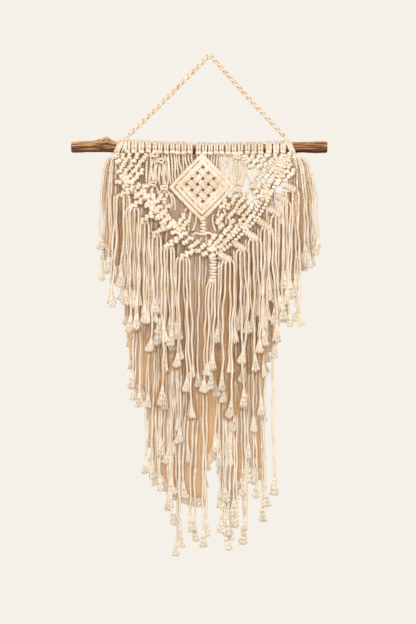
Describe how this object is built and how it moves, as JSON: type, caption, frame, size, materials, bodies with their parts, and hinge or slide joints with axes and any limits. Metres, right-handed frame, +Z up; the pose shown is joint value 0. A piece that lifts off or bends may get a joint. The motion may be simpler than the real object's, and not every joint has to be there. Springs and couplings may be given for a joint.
{
  "type": "macrame wall hanging on a driftwood rod",
  "caption": "Cream cotton macrame hanging: lark's heads on a driftwood rod, woven diamond, knotted swag, tiers of loose fringe with frayed ends, and a twisted hanging cord.",
  "frame": {"origin": "the hang point: the underside of the twisted cord at its bend, where it rests on a nail", "axes": "+Z up, the longest way; +X to the viewer's right along the rod; +Y to the wall, the thinnest way; the knotted front faces -Y"},
  "size_m": [0.383, 0.0346, 0.7513],
  "materials": {
    "cotton": "matte",
    "driftwood": "matte"
  },
  "bodies": {
    "root": {"driftwood_rod": "driftwood", "hanger": "cotton", "knotted_panel": "cotton", "front_fringe_left_1": "cotton", "front_fringe_left_2": "cotton", "front_fringe_left_3": "cotton", "front_fringe_left_4": "cotton", "front_fringe_left_5": "cotton", "front_fringe_left_6": "cotton", "front_fringe_right_1": "cotton", "front_fringe_right_2": "cotton", "front_fringe_right_3": "cotton", "front_fringe_right_4": "cotton", "front_fringe_right_5": "cotton", "front_fringe_right_6": "cotton", "front_fringe_right_7": "cotton", "front_fringe_centre": "cotton", "middle_fringe": "cotton", "long_fringe": "cotton", "side_fringe_left": "cotton", "side_fringe_right": "cotton"}
  },
  "joints": []
}
